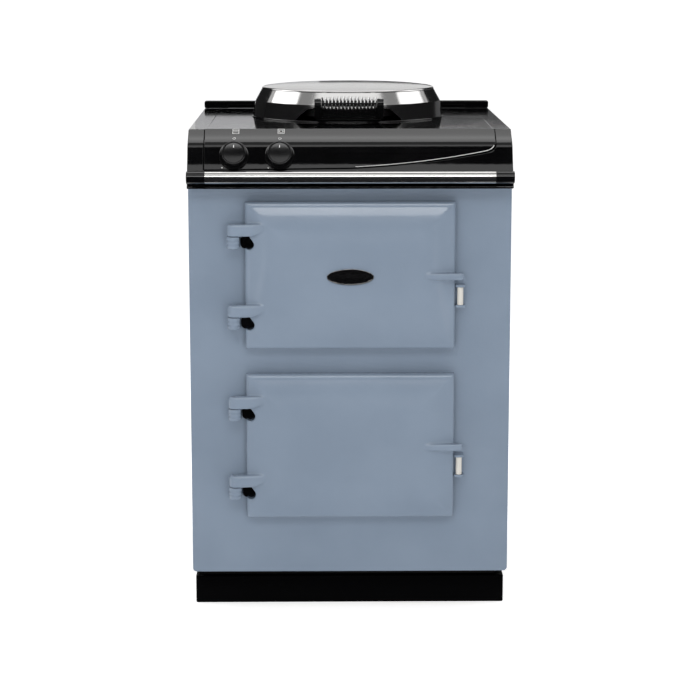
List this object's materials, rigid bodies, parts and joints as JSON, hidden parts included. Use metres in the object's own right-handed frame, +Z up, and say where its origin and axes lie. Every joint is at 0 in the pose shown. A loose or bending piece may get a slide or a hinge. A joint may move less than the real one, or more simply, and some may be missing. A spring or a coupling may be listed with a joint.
{
  "type": "cast iron range cooker",
  "caption": "Free-standing cast iron range cooker with stacked side-hinged oven doors, a round hotplate under a hinged domed lid, a curved control panel with knobs and a front handrail.",
  "frame": {"origin": "middle of the footprint, on the floor", "axes": "+X to the right seen from the front, +Y to the back, +Z up"},
  "size_m": [0.597, 0.6674, 0.9798],
  "materials": {
    "blue_enamel": "glossy blue-grey vitreous enamel",
    "grey_enamel": "dark grey enamel",
    "black_enamel": "glossy black vitreous enamel",
    "black_plastic": "black moulded plastic",
    "steel": "polished stainless steel",
    "shelf_steel": "satin steel",
    "liner_steel": "brushed steel",
    "seal_rope": "braided glass fibre rope",
    "roller_ivory": "off-white ceramic roller",
    "oven_iron": "black cast iron",
    "element_iron": "oxidised heater sheath",
    "hotplate_iron": "machined cast iron",
    "frame_iron": "black painted iron",
    "lid_chrome": "polished chrome",
    "back_steel": "galvanised steel",
    "insulation_board": "mineral fibre board"
  },
  "bodies": {
    "root": {"front_plate": "blue_enamel", "side_panel_left": "blue_enamel", "side_panel_right": "blue_enamel", "upper_door_top_hinge_bracket": "blue_enamel", "upper_door_bottom_hinge_bracket": "blue_enamel", "upper_door_catch_bracket": "blue_enamel", "upper_door_top_hinge_pin": "steel", "upper_door_bottom_hinge_pin": "steel", "upper_oven_shelf": "shelf_steel", "upper_oven_box": "oven_iron", "upper_oven_element": "element_iron", "lower_door_top_hinge_bracket": "blue_enamel", "lower_door_bottom_hinge_bracket": "blue_enamel", "lower_door_catch_bracket": "blue_enamel", "lower_door_top_hinge_pin": "steel", "lower_door_bottom_hinge_pin": "steel", "lower_oven_shelf": "shelf_steel", "lower_oven_box": "oven_iron", "lower_oven_element": "element_iron", "top_housing": "black_enamel", "control_panel": "black_enamel", "top_plate": "black_enamel", "rear_upstand": "black_enamel", "plinth": "black_enamel", "handrail_bracket_left": "black_enamel", "handrail_bracket_right": "black_enamel", "oven_control_switch": "black_plastic", "hotplate_control_switch": "black_plastic", "mains_terminal_box": "black_plastic", "handrail": "steel", "lid_hinge_pin": "steel", "levelling_foot_front_left": "steel", "levelling_foot_front_right": "steel", "levelling_foot_back_left": "steel", "levelling_foot_back_right": "steel", "hotplate": "hotplate_iron", "hotplate_element": "element_iron", "base_chassis": "frame_iron", "lid_hinge_bracket": "frame_iron", "back_panel": "back_steel", "oven_insulation_board": "insulation_board"},
    "upper_door": {"upper_door": "blue_enamel", "upper_door_liner": "grey_enamel", "upper_door_rope_seal": "seal_rope", "upper_door_badge_plate": "lid_chrome"},
    "upper_catch_roller": {"upper_door_catch_roller": "roller_ivory"},
    "lower_door": {"lower_door": "blue_enamel", "lower_door_liner": "grey_enamel", "lower_door_rope_seal": "seal_rope"},
    "lower_catch_roller": {"lower_door_catch_roller": "roller_ivory"},
    "lid": {"lid_handle_bracket": "black_plastic", "lid_handle_post_left": "black_plastic", "lid_handle_post_right": "black_plastic", "lid_handle_rod": "black_plastic", "lid_hinge_arm": "frame_iron", "lid_shell": "lid_chrome", "lid_handle_coil": "lid_chrome", "lid_liner": "liner_steel"},
    "oven_knob": {"oven_control_knob": "black_plastic"},
    "hotplate_knob": {"hotplate_control_knob": "black_plastic"}
  },
  "joints": [
    {"name": "upper_door_swing", "type": "hinge", "parent": "root", "child": "upper_door", "pos_m": [-0.215, -0.30733, 0.649], "axis": [0, 0, -1], "range_deg": [0, 110]},
    {"name": "lower_door_swing", "type": "hinge", "parent": "root", "child": "lower_door", "pos_m": [-0.215, -0.30733, 0.327], "axis": [0, 0, -1], "range_deg": [0, 110]},
    {"name": "upper_catch_roller_spin", "type": "hinge", "parent": "root", "child": "upper_catch_roller", "pos_m": [0.2035, -0.29433, 0.611], "axis": [0, 0, 1], "continuous": true},
    {"name": "lower_catch_roller_spin", "type": "hinge", "parent": "root", "child": "lower_catch_roller", "pos_m": [0.2035, -0.29433, 0.289], "axis": [0, 0, 1], "continuous": true},
    {"name": "lid_tilt", "type": "hinge", "parent": "root", "child": "lid", "pos_m": [0, 0.30867, 0.9338], "axis": [-1, 0, 0], "range_deg": [0, 93]},
    {"name": "oven_knob_turn", "type": "hinge", "parent": "root", "child": "oven_knob", "pos_m": [-0.213, -0.28408, 0.86955], "axis": [0, 0.9017, -0.4324], "range_deg": [0, 285]},
    {"name": "hotplate_knob_turn", "type": "hinge", "parent": "root", "child": "hotplate_knob", "pos_m": [-0.129, -0.28408, 0.86955], "axis": [0, 0.9017, -0.4324], "range_deg": [0, 285]}
  ]
}
